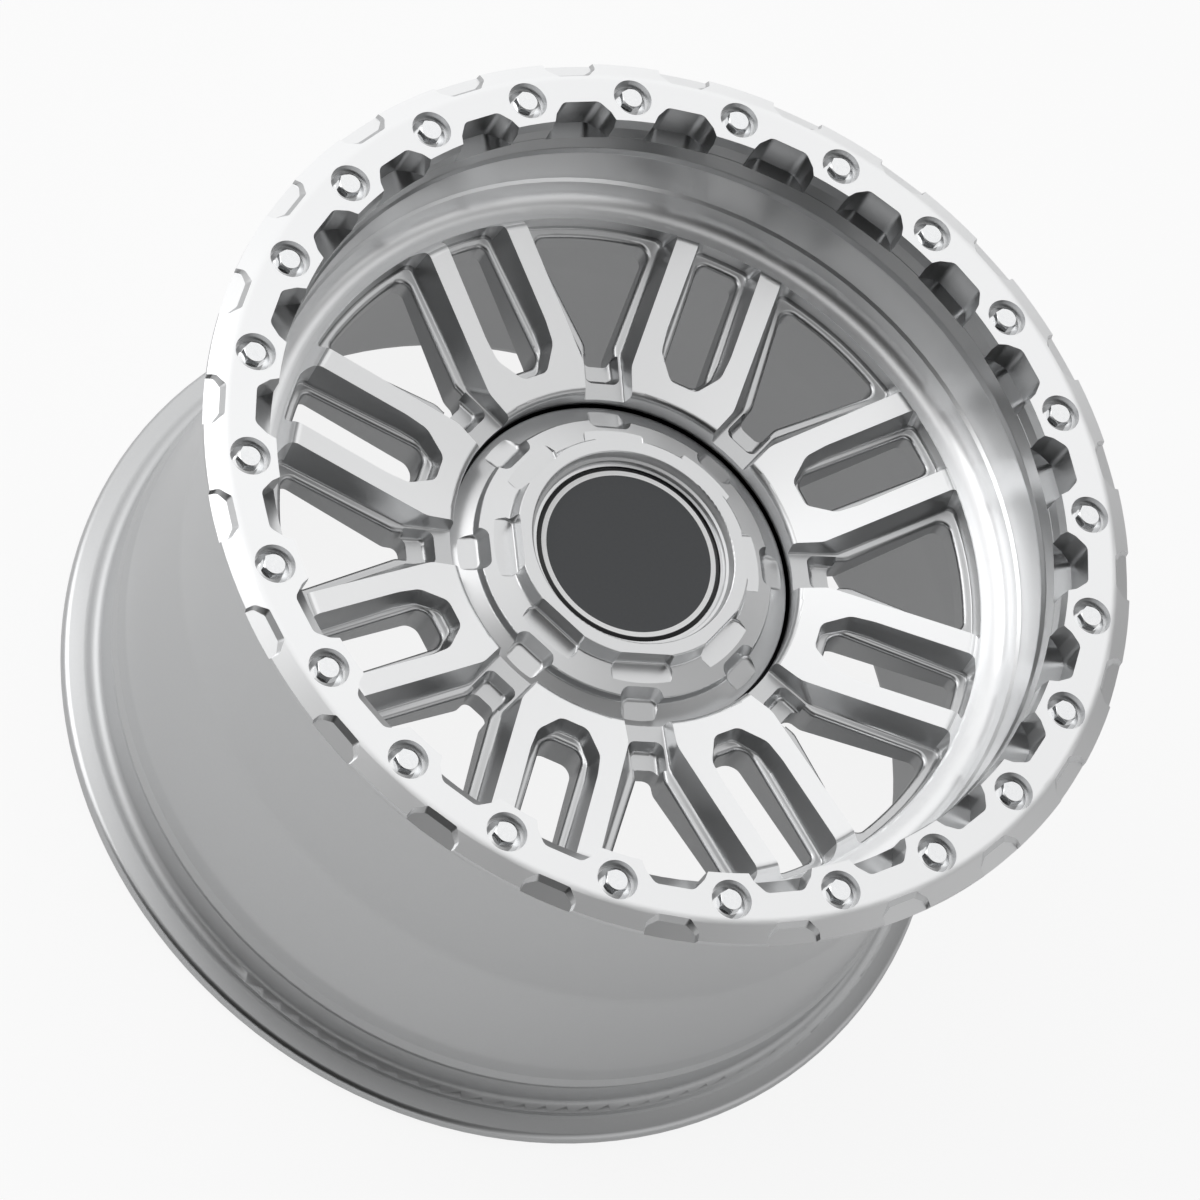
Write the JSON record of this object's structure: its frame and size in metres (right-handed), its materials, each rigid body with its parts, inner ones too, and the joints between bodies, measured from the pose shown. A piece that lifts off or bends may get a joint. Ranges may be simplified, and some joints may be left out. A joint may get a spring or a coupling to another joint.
{
  "type": "off-road wheel",
  "caption": "Deep-lipped off-road alloy wheel with split spokes, a scalloped ring bolted to its front flange and a stepped centre cap.",
  "frame": {"origin": "on the wheel's axis in the plane of the hub mounting pad", "axes": "+Z along the wheel's axis to the outer face, +X through the middle of a triangular window between two spoke pairs"},
  "size_m": [0.4712, 0.4712, 0.2589],
  "materials": {
    "wheel": "silver paint with bright machined faces",
    "ring": "bright machined",
    "bolts": "chrome plated",
    "cap": "bright machined",
    "emblem": "satin dark grey",
    "wire": "drawn spring wire"
  },
  "bodies": {
    "root": {"wheel": "wheel", "beadlock_ring": "ring", "ring_bolts": "bolts", "centre_cap": "cap", "cap_emblem": "emblem", "cap_retaining_ring": "wire"}
  },
  "joints": []
}
